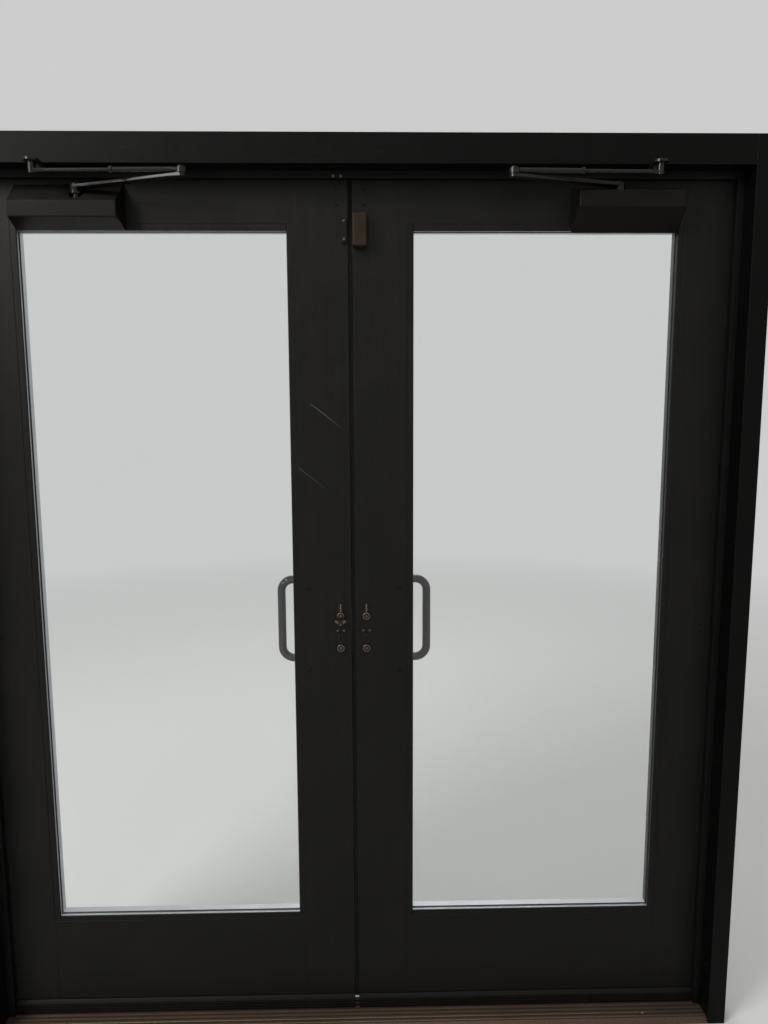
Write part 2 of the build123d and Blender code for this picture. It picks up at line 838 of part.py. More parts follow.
def spindle_bottom(hand):
    """Level in the closer's body where the spindle ends."""
    return closer_centre[hand] - piston_shift + piston_radius - spindle_depth


# Closer arms

def plan_plane(start, end, height):
    """Horizontal plane at a pivot, with its local x towards the other pivot."""
    towards = (end.X - start.X, end.Y - start.Y, 0)
    return Plane(origin=(start.X, start.Y, height), x_dir=towards, z_dir=(0, 0, 1))


def main_arm(hand):
    """Forged arm with its hub, spindle and nut, and the stud of the elbow; the turned closer's one climbs."""
    length = (elbow_at - spindle_at).length
    bottom = arm_bottom[hand]
    top = bottom + arm_thickness
    hub_bottom = bottom - hub_drop
    plan = plan_plane(spindle_at, elbow_at, 0)
    side = Plane(origin=(spindle_at.X, spindle_at.Y, 0), x_dir=plan.x_dir, z_dir=-plan.y_dir)
    with BuildPart() as arm:
        with BuildSketch(side):
            with BuildLine():
                Polyline(
                    (-hub_radius, bottom), (arm_slope_start, bottom), (length - arm_slope_end, elbow_bottom),
                    (length + elbow_radius, elbow_bottom), (length + elbow_radius, elbow_top),
                    (length - arm_slope_end, elbow_top), (arm_slope_start, top), (-hub_radius, top),
                    close=True,
                )
            make_face()
        extrude(amount=hub_radius, both=True)
        with BuildSketch(plan.offset(bottom)):
            Circle(hub_radius)
            with Locations((length, 0)):
                Circle(elbow_radius)
            make_hull()
        extrude(amount=elbow_top - bottom, mode=Mode.INTERSECT)
        with BuildSketch(plan.offset(hub_bottom)):
            Circle(hub_radius)
        extrude(amount=top - hub_bottom)
        with BuildSketch(plan.offset(spindle_bottom(hand))):
            Circle(spindle_radius)
        extrude(amount=hub_bottom - spindle_bottom(hand))
        with BuildSketch(plan.offset(top)):
            RegularPolygon(nut_radius, 6)
        extrude(amount=nut_height)
        stud_plane = plan.offset(elbow_top)
        eye_height = joint_gap + eye_thickness + joint_gap
        with BuildSketch(stud_plane):
            with Locations((length, 0)):
                Circle(stud_radius)
        extrude(amount=eye_height)
        with BuildSketch(stud_plane.offset(eye_height)):
            with Locations((length, 0)):
                Circle(stud_head_radius)
        extrude(amount=stud_head_height)
    return arm.part


def forearm_sleeve():
    """Elbow half of the forearm: eye round the stud, tube, end collar and clamp screw."""
    plan = plan_plane(elbow_at, shoe_at, 0)
    along = Plane(origin=(elbow_at.X, elbow_at.Y, forearm_height), x_dir=plan.y_dir, z_dir=plan.x_dir)
    eye_low = elbow_top + joint_gap
    with BuildPart() as sleeve:
        with BuildSketch(along):
            Circle(sleeve_radius)
        extrude(amount=sleeve_length)
        with BuildSketch(along.offset(sleeve_length - sleeve_collar_length)):
            Circle(sleeve_collar_radius)
        extrude(amount=sleeve_collar_length, mode=Mode.ADD)
        with BuildSketch(plan.offset(eye_low - stud_head_height)):
            Circle(eye_radius)
        extrude(amount=2 * eye_thickness + stud_head_height, mode=Mode.SUBTRACT)
        with BuildSketch(plan.offset(eye_low)):
            Circle(eye_radius)
        extrude(amount=eye_thickness)
        with BuildSketch(plan.offset(eye_low)):
            Circle(stud_radius + stud_clearance)
        extrude(amount=eye_thickness, mode=Mode.SUBTRACT)
        screw_plane = Plane(
            origin=Vector(elbow_at.X, elbow_at.Y, forearm_height) + plan.x_dir * clamp_screw_distance,
            x_dir=plan.x_dir, z_dir=-plan.y_dir,
        )
        with BuildSketch(screw_plane):
            Circle(clamp_screw_radius)
        extrude(amount=clamp_screw_reach, both=True)
        with BuildSketch(along.offset(rod_start)):
            Circle(rod_radius + rod_clearance)
        extrude(amount=sleeve_length - rod_start, mode=Mode.SUBTRACT)
    return sleeve.part


def forearm_rod():
    """Shoe half of the forearm: rod, tapered ferrule and the barrel that turns under the shoe's boss."""
    plan = plan_plane(elbow_at, shoe_at, 0)
    length = (shoe_at - elbow_at).length
    side = Plane(origin=(elbow_at.X, elbow_at.Y, forearm_height), x_dir=plan.x_dir, z_dir=-plan.y_dir)
    with BuildPart() as rod:
        with BuildSketch(side):
            with BuildLine():
                Polyline(
                    (rod_start, 0), (rod_start, rod_radius), (length - ferrule_length, rod_radius),
                    (length, ferrule_end_radius), (length, 0), close=True,
                )
            make_face()
        revolve(axis=Axis(side.origin, side.x_dir))
        with BuildSketch(plan.offset(barrel_bottom)):
            with Locations((length, 0)):
                Circle(barrel_radius)
        extrude(amount=barrel_top - barrel_bottom)
    return rod.part


# Pull and fasteners

def pull_handle():
    """Offset pull: a bent bar with two feet on the stile and its grip in front of the glass."""
    bolt_x = pull_bolt_from_middle
    grip_x = pull_grip_from_middle
    with BuildPart() as pull:
        with BuildLine() as route:
            FilletPolyline(
                (bolt_x, outside_face, pull_top), (bolt_x, pull_line, pull_top),
                (grip_x, pull_line, pull_top), (grip_x, pull_line, pull_bottom),
                (bolt_x, pull_line, pull_bottom), (bolt_x, outside_face, pull_bottom),
                radius=[pull_foot_radius, pull_corner_radius, pull_corner_radius, pull_foot_radius],
            )
        with BuildSketch(Plane(origin=(bolt_x, outside_face, pull_top), z_dir=(0, 1, 0))):
            Circle(pull_radius)
        sweep()
        with BuildSketch(room_side.offset(-leaf_thickness)):
            with Locations(*pull_bolt_points):
                Circle(bolt_radius + bolt_clearance)
        extrude(amount=-pull_hole_depth, mode=Mode.SUBTRACT)
    return pull.part


def socket_cap(points, radius, height):
    """Round caps with a rounded rim and a hexagonal socket, seated on the room side."""
    with BuildPart() as caps:
        with BuildSketch(room_side):
            with Locations(*points):
                Circle(radius)
        extrude(amount=height)
        fillet(caps.faces().group_by(Axis.Y)[0].edges(), radius=cap_round)
        with BuildSketch(room_side.offset(height)):
            with Locations(*points):
                RegularPolygon(socket_radius, 6)
        extrude(amount=-socket_depth, mode=Mode.SUBTRACT)
    return caps.part


def through_bolts():
    """Bolts of the pull, which run through the stile into its feet, and the two bolts of the lock line."""
    with BuildPart() as bolts:
        add(socket_cap(pull_bolt_points, pull_cap_radius, pull_cap_height))
        add(socket_cap(lock_bolt_points, lock_cap_radius, lock_cap_height))
        with BuildSketch(room_side):
            with Locations(*pull_bolt_points):
                Circle(bolt_radius)
        extrude(amount=-(leaf_thickness + pull_hole_depth - joint_gap))
        with BuildSketch(room_side):
            with Locations(*lock_bolt_points):
                Circle(bolt_radius)
        extrude(amount=-lock_bolt_length)
    return bolts.part


def lock_plates():
    """Slotted plate between the two lock bolts, and the narrow bar above them."""
    with BuildPart() as plates:
        with BuildSketch(room_side):
            with Locations((lock_line, lock_axis_height - slot_plate_below_lock)):
                RectangleRounded(slot_plate_width, slot_plate_height, 2)
                SlotOverall(slot_length, slot_width, rotation=90, mode=Mode.SUBTRACT)
        extrude(amount=plate_proud)
        with BuildSketch(room_side):
            with Locations((lock_line, lock_axis_height + bar_above_lock)):
                RectangleRounded(bar_width, bar_height, 1.5)
        extrude(amount=bar_proud)
    return plates.part


def pan_screws(points, seat):
    """Small pan-head screws: seat is how far their heads sit in front of the stile's face."""
    with BuildPart() as screws:
        with BuildSketch(room_side.offset(seat)):
            with Locations(*points):
                Circle(face_screw_radius)
        extrude(amount=-(seat + face_screw_length))
        with BuildSketch(room_side.offset(seat)):
            with Locations(*points):
                Circle(face_screw_head)
        extrude(amount=face_screw_head_height, taper=15)
    return screws.part


def face_screws(hand):
    with BuildPart() as screws:
        add(pan_screws(lock_screw_points + corner_screw_points + hinge_screw_points, 0))
        if hand == "left":
            add(pan_screws(magnet_screw_points, magnet_depth))
    return screws.part


# Lock

def front_plate_length(hand):
    if hand == "left":
        return case_top - case_bottom + 2 * front_plate_margin
    return slot_high - slot_low + 2 * front_plate_margin


def front_plate_middle(hand):
    return case_middle if hand == "left" else (slot_low + slot_high) / 2


def front_plate(hand):
    """Plate let into the meeting edge, with the slot that the swinging bolt passes."""
    with BuildPart() as plate:
        with BuildSketch(Plane.YZ.offset(meeting_edge)):
            with Locations((leaf_middle, front_plate_middle(hand))):
                Rectangle(front_plate_width, front_plate_length(hand))
            with Locations((leaf_middle, (slot_low + slot_high) / 2)):
                Rectangle(swing_bolt_thickness + 2 * slot_clearance, slot_high - slot_low, mode=Mode.SUBTRACT)
        extrude(amount=front_plate_thickness)
    return plate.part


def lock_case():
    """Case with its front plate, open towards the slot, and the pivot of the bolt."""
    with BuildPart() as case:
        add(front_plate("left"))
        with BuildSketch(Plane.YZ.offset(case_start)):
            with Locations((leaf_middle, case_middle)):
                Rectangle(case_thickness, case_top - case_bottom)
        extrude(amount=case_length)
        with BuildSketch(Plane.YZ.offset(case_start)):
            with Locations((leaf_middle, case_middle)):
                Rectangle(case_thickness - 2 * case_wall, case_top - case_bottom - 2 * case_wall)
        extrude(amount=case_length - case_wall, mode=Mode.SUBTRACT)
        through_case = Plane.XZ.offset(-leaf_middle)
        with BuildSketch(through_case):
            with Locations((lock_line, lock_axis_height)):
                Circle(turn_radius + turn_clearance)
        extrude(amount=case_thickness / 2, both=True, mode=Mode.SUBTRACT)
        with BuildSketch(through_case):
            with Locations((bolt_pivot_x, bolt_pivot_height)):
                Circle(pivot_radius)
        extrude(amount=case_thickness / 2 - case_wall, both=True)
    return case.part


def swing_bolt():
    """Swinging bolt, stowed upright: it turns a quarter towards the other leaf."""
    with BuildPart() as bolt:
        with BuildSketch(Plane.XZ.offset(-leaf_middle)):
            with Locations((bolt_pivot_x, bolt_pivot_height + swing_bolt_reach / 2)):
                Rectangle(swing_bolt_width, swing_bolt_reach)
            with Locations((bolt_pivot_x, bolt_pivot_height)):
                Circle(swing_bolt_width / 2)
                Circle(pivot_radius + swing_bolt_clearance, mode=Mode.SUBTRACT)
        extrude(amount=swing_bolt_thickness / 2, both=True)
    return bolt.part


def thumb_turn():
    """Turn with two raised wings on a shaft that runs into the lock case."""
    case_inside = leaf_middle - case_thickness / 2 + case_wall
    reach = case_inside - inside_face
    with BuildPart() as turn:
        with BuildSketch(room_side.offset(turn_standoff)):
            for side in (-1, 1):
                with BuildSketch(mode=Mode.PRIVATE) as wing:
                    with Locations((lock_line, lock_axis_height)):
                        Circle(wing_hub_radius)
                    with Locations((lock_line + side * wing_reach, lock_axis_height + wing_rise)):
                        Circle(wing_radius)
                    make_hull()
                add(wing.sketch)
        extrude(amount=turn_thickness)
        fillet(turn.faces().sort_by(Axis.Y)[0].edges(), radius=wing_round)
        with BuildSketch(room_side.offset(turn_standoff)):
            with Locations((lock_line, lock_axis_height)):
                Circle(turn_radius)
        extrude(amount=-(turn_standoff + reach))
    return turn.part


def key_cylinder():
    """Cylinder on the outside: ring, plug with its keyway, and the barrel up to the lock case."""
    case_outside = leaf_middle + case_thickness / 2
    street_side = Plane(origin=(0, outside_face, 0), x_dir=(1, 0, 0), z_dir=(0, -1, 0))
    with BuildPart() as cylinder:
        with BuildSketch(street_side):
            with Locations((lock_line, lock_axis_height)):
                Circle(cylinder_radius)
        extrude(amount=outside_face - case_outside)
        with BuildSketch(street_side):
            with Locations((lock_line, lock_axis_height)):
                Circle(cylinder_ring_radius)
        extrude(amount=-cylinder_ring_height, taper=12)
        front = street_side.offset(-cylinder_ring_height)
        with BuildSketch(front):
            with Locations((lock_line, lock_axis_height)):
                Circle(plug_radius)
        extrude(amount=-plug_proud)
        with BuildSketch(front.offset(-plug_proud)):
            with Locations((lock_line, lock_axis_height)):
                Rectangle(keyway_width, keyway_height)
        extrude(amount=keyway_depth, mode=Mode.SUBTRACT)
    return cylinder.part


# Door contact

def contact_housing():
    high = leaf_top - housing_below_leaf_top + housing_height / 2
    low = high - housing_height
    start = meeting_edge + housing_setback
    with BuildPart() as housing:
        add(block(start, start + housing_width, inside_face - housing_depth, inside_face, low, high))
        rear = inside_face - 1
        fillet(housing.edges().filter_by(lambda edge: edge.center().Y < rear), radius=housing_round)
        offset(amount=-housing_wall, openings=housing.faces().sort_by(Axis.Y)[-1])
    return housing.part


def magnet_bar():
    with BuildPart() as bar:
        with BuildSketch(room_side):
            with Locations((magnet_x, magnet_middle)):
                RectangleRounded(magnet_width, magnet_height, magnet_width / 4)
            with Locations(*magnet_screw_points):
                Circle(face_screw_radius + face_screw_clearance, mode=Mode.SUBTRACT)
        extrude(amount=magnet_depth)
    return bar.part


# The frame's own pieces
save(jamb(), "right_jamb")
save(other_hand(jamb()), "left_jamb")
save(head_member(), "head_member")
save(jamb_stop(), "right_jamb_stop")
save(other_hand(jamb_stop()), "left_jamb_stop")
save(head_stop(), "head_stop")
save(stop_seals(), "stop_seals")
save(threshold(), "threshold")
save(frame_screws(), "frame_screws")
save(arm_shoe(), "right_arm_shoe")
save(other_hand(arm_shoe()), "left_arm_shoe")
save(frame_hinge_plates(), "frame_hinge_plates")
save(hinge_pins(), "hinge_pins")

# What each leaf carries
for hand in ("left", "right"):
    pieces = {
        "hinge_stile": hinge_stile(),
        "lock_stile": lock_stile(hand),
        "top_rail": cross_tube(lock_stile_inner, hinge_stile_inner, inside_face, outside_face,
                               daylight_high, leaf_top),
        "bottom_rail": cross_tube(lock_stile_inner, hinge_stile_inner, inside_face, outside_face,
                                  leaf_bottom, daylight_low),
        "glazing_beads": glazing_beads(),
        "glass_pane": glass_pane(),
        "glazing_gaskets": glazing_gaskets(),
        "setting_blocks": setting_blocks(),
        "door_hinge_plates": hinge_plates(hinge_edge - plate_thickness / 2, (1, 3)),
        "meeting_seal": meeting_seal(),
        "bottom_sweep": bottom_sweep(),
        "closer_cover": closer_cover(hand),
        "closer_body": closer_body(hand),
        "main_arm": main_arm(hand),
        "forearm_sleeve": forearm_sleeve(),
        "forearm_rod": forearm_rod(),
        "pull_handle": pull_handle(),
        "through_bolts": through_bolts(),
        "lock_plates": lock_plates(),
        "face_screws": face_screws(hand),
    }
    for name, piece in pieces.items():
        save(piece if hand == "right" else other_hand(piece), f"{hand}_{name}")

# What only one leaf carries
save(other_hand(lock_case()), "lock_case")
save(other_hand(swing_bolt()), "swing_bolt")
save(other_hand(thumb_turn()), "thumb_turn")
save(other_hand(key_cylinder()), "key_cylinder")
save(other_hand(magnet_bar()), "magnet_bar")
save(front_plate("right"), "strike_plate")
save(contact_housing(), "contact_housing")
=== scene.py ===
import bpy
import bmesh
import math
from mathutils import Matrix, Vector


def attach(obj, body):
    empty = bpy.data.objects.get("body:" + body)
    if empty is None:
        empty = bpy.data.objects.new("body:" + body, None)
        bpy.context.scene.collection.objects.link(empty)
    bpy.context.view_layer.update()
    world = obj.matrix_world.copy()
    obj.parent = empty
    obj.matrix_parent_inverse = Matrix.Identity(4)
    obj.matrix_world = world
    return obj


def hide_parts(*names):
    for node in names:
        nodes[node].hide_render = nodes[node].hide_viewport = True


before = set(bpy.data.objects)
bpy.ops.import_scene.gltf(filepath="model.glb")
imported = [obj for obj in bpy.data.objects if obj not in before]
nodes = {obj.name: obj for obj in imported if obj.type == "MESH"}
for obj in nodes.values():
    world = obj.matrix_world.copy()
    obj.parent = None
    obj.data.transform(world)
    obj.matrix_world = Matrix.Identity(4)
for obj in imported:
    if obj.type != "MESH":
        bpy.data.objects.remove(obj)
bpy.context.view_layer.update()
scene = bpy.context.scene
sides = ("left", "right")
print("frame loaded,", len(nodes), "solids")

# camera, where the photograph was taken from
cameraSet = {
    "place": (0.038, -1.849, 1.596),
    "panRight": 1.19,     # degrees
    "downTilt": 7.7,      # degrees below the horizon
    "roll": -0.22,        # degrees
    "sensor": 36.0,       # mm, the long side
    "lens": 27.03,        # mm
    "nearest": 0.05,
}


def placeCamera():
    data = bpy.data.cameras.new("doorCamera")
    data.lens = cameraSet["lens"]
    data.sensor_width = cameraSet["sensor"]
    data.clip_start = cameraSet["nearest"]
    camera = bpy.data.objects.new("doorCamera", data)
    scene.collection.objects.link(camera)
    pan = Matrix.Rotation(-math.radians(cameraSet["panRight"]), 4, "Z")
    tilt = Matrix.Rotation(math.radians(90 - cameraSet["downTilt"]), 4, "X")
    roll = Matrix.Rotation(math.radians(cameraSet["roll"]), 4, "Z")
    camera.matrix_world = Matrix.Translation(cameraSet["place"]) @ pan @ tilt @ roll
    scene.camera = camera


placeCamera()


# small helpers for node trees

def startMaterial(name, **shaderValues):
    material = bpy.data.materials.new(name)
    material.use_nodes = True
    tree = material.node_tree
    shader = tree.nodes["Principled BSDF"]
    for socket, value in shaderValues.items():
        shader.inputs[socket.replace("_", " ")].default_value = value
    return material, tree, shader


def addNode(tree, kind, links=None, **settings):
    node = tree.nodes.new("ShaderNode" + kind)
    for key, value in settings.items():
        setattr(node, key, value)
    for key, value in (links or {}).items():
        if isinstance(value, bpy.types.NodeSocket):
            tree.links.new(value, node.inputs[key])
        else:
            node.inputs[key].default_value = value
    return node


def maths(tree, operation, first, second):
    return addNode(tree, "Math", {0: first, 1: second}, operation=operation).outputs[0]


def product(tree, first, *others):
    for other in others:
        first = maths(tree, "MULTIPLY", first, other)
    return first


def absolute(tree, value):
    return maths(tree, "ABSOLUTE", value, 0.0)


def dotProduct(tree, first, second):
    node = addNode(tree, "VectorMath", {0: first, 1: second}, operation="DOT_PRODUCT")
    return node.outputs["Value"]


def ownPlace(tree):
    return addNode(tree, "TexCoord").outputs["Object"]


# sockets X, Y and Z of the place on the piece
def placeParts(tree):
    return addNode(tree, "SeparateXYZ", {"Vector": ownPlace(tree)}).outputs


# sockets X, Y and Z of the way that the surface faces
def facingParts(tree):
    normal = addNode(tree, "NewGeometry").outputs["Normal"]
    return addNode(tree, "SeparateXYZ", {"Vector": normal}).outputs


# a pattern read here comes out long where the scale is small
def stretchedPlace(tree, scale):
    mapping = addNode(tree, "Mapping", {"Vector": ownPlace(tree), "Scale": scale})
    return mapping.outputs["Vector"]


def lengthwise(along, share):
    return tuple(share if axis == along else 1 for axis in "xyz")


# the sets below write a noise as its scale, detail and, where it isn't 0.55, roughness
def noise(tree, vector, scale, detail, rough=0.55):
    settings = {"Vector": vector, "Scale": scale, "Detail": detail, "Roughness": rough}
    return addNode(tree, "TexNoise", settings).outputs["Fac"]


def ramp(tree, value, low, high, lowValue=0.0, highValue=1.0):
    node = addNode(tree, "MapRange", {"Value": value, "From Min": low, "From Max": high,
                                      "To Min": lowValue, "To Max": highValue})
    node.clamp = True
    return node.outputs["Result"]


noiseMiddle = (0.3, 0.7)      # where most of a noise's values lie


def spread(tree, value, lowValue=0.0, highValue=1.0):
    return ramp(tree, value, *noiseMiddle, lowValue, highValue)


def blendColour(tree, amount, first, second):
    node = addNode(tree, "Mix", {"Factor": amount}, data_type="RGBA")
    for socket, value in ((node.inputs[6], first), (node.inputs[7], second)):
        if isinstance(value, bpy.types.NodeSocket):
            tree.links.new(value, socket)
        else:
            socket.default_value = (*value, 1.0)
    return node.outputs[2]


def toned(colour, share):
    return tuple(share * channel for channel in colour)


# links a finish to its shader; relief is a height with its strength and distance
def connect(tree, shader, colour, rough, relief):
    height, strength, distance = relief
    bumped = addNode(tree, "Bump", {"Height": height, "Strength": strength, "Distance": distance})
    tree.links.new(colour, shader.inputs["Base Color"])
    if rough:
        tree.links.new(rough, shader.inputs["Roughness"])
    tree.links.new(bumped.outputs["Normal"], shader.inputs["Normal"])


edgeSet = {
    "samples": 4,
    "flat": 0.995,       # how nearly the rounded and the true normal agree, flat and on a corner
    "corner": 0.80,
}


# 0 on flat stretches, towards 1 along outer edges
def rubbedEdges(tree, radius):
    rounded = addNode(tree, "Bevel", {"Radius": radius}, samples=edgeSet["samples"])
    plain = addNode(tree, "NewGeometry")
    agreement = dotProduct(tree, rounded.outputs["Normal"], plain.outputs["Normal"])
    return ramp(tree, agreement, edgeSet["flat"], edgeSet["corner"])


# finishes

anodisedSet = {
    "colour": (0.0162, 0.0155, 0.0147),
    "metallic": 0.82,
    "ior": 1.45,
    "specular": 0.3,
    "roughness": (0.38, 0.52),
    "cloudNoise": (5.0, 5.0),
    "cloudTone": 1.45,
    "cloudAmount": 0.35,
    "drawnNoise": (260.0, 3.0),        # lines left by the die
    "drawnShrink": 0.02,
    "drawnRange": (0.35, 0.7),
    "drawnTone": 0.55,
    "drawnAmount": 0.30,
    "drawnRelief": (0.10, 0.0002),
    "smearNoise": (22.0, 6.0, 0.65),
    "worn": (0.050, 0.046, 0.042),
    "edgeRadius": 0.0012,
    "edgeRange": (0.35, 0.65),
    "edgeWear": 0.55,
    "scratchNoise": (160.0, 1.0),
    "scratchShrink": 0.12,
    "scratchRange": (0.735, 0.765),
    "scratchWear": 0.12,
    "dust": (0.075, 0.070, 0.064),
    "dustNoise": (900.0, 2.0),
    "dustRange": (0.35, 0.75),
    "dustAmount": (0.15, 0.8),
    "dustFacing": (0.55, 0.95),
    "dustRoughness": 0.3,
}

# painted light: the ledges of the beads round the panes are painted pale, a painted reflection of the light
# from outside
ledgeLightSet = {
    "colour": (0.42, 0.43, 0.45),
    "sideways": (0.69, 0.60),       # how far a face may look into or out of the room
    "shadedFacing": (-0.6, -0.2),
    "shaded": 0.12,                 # share of the painted light that is left on faces that look to the left, as painted shade
    "beadHeight": 0.016,
    "feather": (0.0012, 0.0006),    # past the bead's inner edge, where it ends and starts
}
beadCorners = [vertex.co for vertex in nodes["right_glazing_beads"].data.vertices]


# 1 inside the clear opening between the beads of either leaf
def withinBeads(tree):
    parts = placeParts(tree)
    outer, inner = ledgeLightSet["feather"]
    inside = 1.0
    for axis, letter in ((0, "X"), (2, "Z")):
        values = [corner[axis] for corner in beadCorners]
        middle = (min(values) + max(values)) / 2
        half = (max(values) - min(values)) / 2 - ledgeLightSet["beadHeight"]
        away = absolute(tree, maths(tree, "SUBTRACT", absolute(tree, parts[letter]), middle))
        inside = product(tree, ramp(tree, away, half + outer, half + inner), inside)
    return inside


# painted light on the bead ledges, with painted shade on those that look to the left
def paintedLedgeLightMask(tree, facing):
    sideways = ramp(tree, absolute(tree, facing["Y"]), *ledgeLightSet["sideways"])
    shaded = ramp(tree, facing["X"], *ledgeLightSet["shadedFacing"], ledgeLightSet["shaded"], 1.0)
    return product(tree, sideways, shaded, withinBeads(tree))


# painted light: two pale streaks of sunlight painted running down across the left lock stile on the room side
lightStreakSet = {
    "colour": (0.115, 0.130, 0.130),
    "halfWidth": (0.0010, 0.0003),      # to its faint outer edge, and of its solid middle
    "fullFrom": 0.15,                   # shares of its run
    "fadeFrom": 0.35,
    "roomFacing": (-0.80, -0.95),
    # start and end, aside from the meeting edges and up from the floor, with the strength of each
    "marks": (((-0.102, 1.6100), (-0.012, 1.5390), 1.0), ((-0.138, 1.4600), (-0.058, 1.3970), 0.6)),
}


# 1 along the middle of each painted streak of light, fading towards its lower end
def paintedStreakMask(tree, facing):
    place = ownPlace(tree)
    mask = 0.0
    for (startX, startZ), (endX, endZ), strength in lightStreakSet["marks"]:
        run = Vector((endX - startX, 0, endZ - startZ))
        across = Vector((-run.z, 0, run.x)).normalized()
        offset = addNode(tree, "VectorMath", {0: place, 1: (startX, 0, startZ)}, operation="SUBTRACT")
        share = dotProduct(tree, offset.outputs["Vector"], run / run.length_squared)
        aside = absolute(tree, dotProduct(tree, offset.outputs["Vector"], across))
        body = ramp(tree, aside, *lightStreakSet["halfWidth"])
        rising = ramp(tree, share, 0.0, lightStreakSet["fullFrom"])
        falling = ramp(tree, share, lightStreakSet["fadeFrom"], 1.0, strength, 0.0)
        mask = maths(tree, "MAXIMUM", mask, product(tree, body, rising, falling))
    return product(tree, mask, ramp(tree, facing["Y"], *lightStreakSet["roomFacing"]))


# dark bronze anodising: draw lines along the extrusion, rubbed edges, hand smears and settled dust
def anodisedFinish(name, along, tone=1.0, settled=1.0, paintedLedgeLight=False, paintedStreaks=False):
    use = anodisedSet
    material, tree, shader = startMaterial(name, Metallic=use["metallic"], IOR=use["ior"],
                                           Specular_IOR_Level=use["specular"])
    still = ownPlace(tree)
    cloud = noise(tree, still, *use["cloudNoise"])
    smear = noise(tree, still, *use["smearNoise"])
    speck = noise(tree, still, *use["dustNoise"])
    drawn = noise(tree, stretchedPlace(tree, lengthwise(along, use["drawnShrink"])), *use["drawnNoise"])
    scratch = noise(tree, stretchedPlace(tree, lengthwise(along, use["scratchShrink"])), *use["scratchNoise"])
    base = toned(use["colour"], tone)
    cloudAmount = spread(tree, cloud, 0.0, use["cloudAmount"])
    colour = blendColour(tree, cloudAmount, base, toned(base, use["cloudTone"]))
    drawnAmount = ramp(tree, drawn, *use["drawnRange"], 0.0, use["drawnAmount"])
    colour = blendColour(tree, drawnAmount, colour, toned(base, use["drawnTone"]))
    edges = product(tree, rubbedEdges(tree, use["edgeRadius"]), ramp(tree, smear, *use["edgeRange"]))
    edgeWear = product(tree, edges, use["edgeWear"])
    scratchWear = product(tree, ramp(tree, scratch, *use["scratchRange"]), use["scratchWear"])
    colour = blendColour(tree, maths(tree, "MAXIMUM", edgeWear, scratchWear), colour, use["worn"])
    facing = facingParts(tree)
    dustAmount = [settled * amount for amount in use["dustAmount"]]
    specks = ramp(tree, speck, *use["dustRange"], *dustAmount)
    dust = product(tree, ramp(tree, facing["Z"], *use["dustFacing"]), specks)
    colour = blendColour(tree, dust, colour, use["dust"])
    # painted light on the ledges of the beads
    if paintedLedgeLight:
        colour = blendColour(tree, paintedLedgeLightMask(tree, facing), colour, ledgeLightSet["colour"])
    # painted streaks of light on the left lock stile
    if paintedStreaks:
        colour = blendColour(tree, paintedStreakMask(tree, facing), colour, lightStreakSet["colour"])
    dusty = product(tree, dust, use["dustRoughness"])
    rough = maths(tree, "ADD", spread(tree, smear, *use["roughness"]), dusty)
    connect(tree, shader, colour, rough, (drawn, *use["drawnRelief"]))
    return material


thresholdSet = {
    "colour": (0.100, 0.066, 0.047),
    "rubbed": (0.215, 0.155, 0.112),
    "dirt": (0.044, 0.031, 0.024),
    "metallic": 0.75,
    "ior": 1.45,
    "roughness": (0.42, 0.68),
    "rubbedSmoother": 0.12,
    "drawnNoise": (300.0, 3.0),
    "drawnShrink": 0.015,
    "drawnRange": (0.45, 0.75),
    "drawnAmount": 0.35,
    "treadNoise": (6.0, 5.0),
    "treadRange": (0.32, 0.68),
    "treadLeast": 0.35,
    "gritNoise": (420.0, 3.0),
    "gritRange": (0.40, 0.72),
    "relief": (0.2, 0.0003),
    "top": 0.0127,
    "ridge": (0.0008, 0.0001),       # below the top, where the rubbing starts and is full
}


# bronze anodising walked down to lighter ridges, with grit left between them
def thresholdFinish(name):
    use = thresholdSet
    material, tree, shader = startMaterial(name, Metallic=use["metallic"], IOR=use["ior"])
    still = ownPlace(tree)
    drawn = noise(tree, stretchedPlace(tree, lengthwise("x", use["drawnShrink"])), *use["drawnNoise"])
    tread = noise(tree, still, *use["treadNoise"])
    grit = noise(tree, still, *use["gritNoise"])
    start, full = use["ridge"]
    height = ramp(tree, placeParts(tree)["Z"], use["top"] - start, use["top"] - full)
    rubbed = product(tree, height, ramp(tree, tread, *use["treadRange"], use["treadLeast"], 1.0))
    colour = blendColour(tree, ramp(tree, grit, *use["gritRange"]), use["colour"], use["dirt"])
    colour = blendColour(tree, rubbed, colour, use["rubbed"])
    drawnAmount = ramp(tree, drawn, *use["drawnRange"], 0.0, use["drawnAmount"])
    colour = blendColour(tree, drawnAmount, colour, use["colour"])
    smoother = product(tree, rubbed, use["rubbedSmoother"])
    rough = maths(tree, "SUBTRACT", spread(tree, grit, *use["roughness"]), smoother)
    connect(tree, shader, colour, rough, (maths(tree, "ADD", drawn, grit), *use["relief"]))
    return material


paintSet = {
    "cloudNoise": (14.0, 5.0),
    "cloudTone": 1.3,
    "grimeNoise": (60.0, 6.0, 0.7),
    "edgeRadius": 0.0009,
    "edgeRange": (0.42, 0.60),
    "dustFacing": (0.3, 0.95),
    "dustAmount": (0.06, 0.2),
    "peelNoise": (620.0, 2.0),
    "relief": (0.12, 0.0002),
}


# sprayed paint: fine orange peel, uneven sheen, and edges rubbed to the primer
def paintFinish(name, colour, worn, chips, rough, specular):
    use = paintSet
    material, tree, shader = startMaterial(name, Specular_IOR_Level=specular)
    still = ownPlace(tree)
    cloud = noise(tree, still, *use["cloudNoise"])
    peel = noise(tree, still, *use["peelNoise"])
    grime = noise(tree, still, *use["grimeNoise"])
    paint = blendColour(tree, spread(tree, cloud), colour, toned(colour, use["cloudTone"]))
    edges = product(tree, rubbedEdges(tree, use["edgeRadius"]), ramp(tree, grime, *use["edgeRange"]), chips)
    paint = blendColour(tree, edges, paint, worn)
    ledge = ramp(tree, facingParts(tree)["Z"], *use["dustFacing"])
    dust = product(tree, ledge, spread(tree, grime, *use["dustAmount"]))
    paint = blendColour(tree, dust, paint, anodisedSet["dust"])
    connect(tree, shader, paint, spread(tree, grime, *rough), (peel, *use["relief"]))
    return material


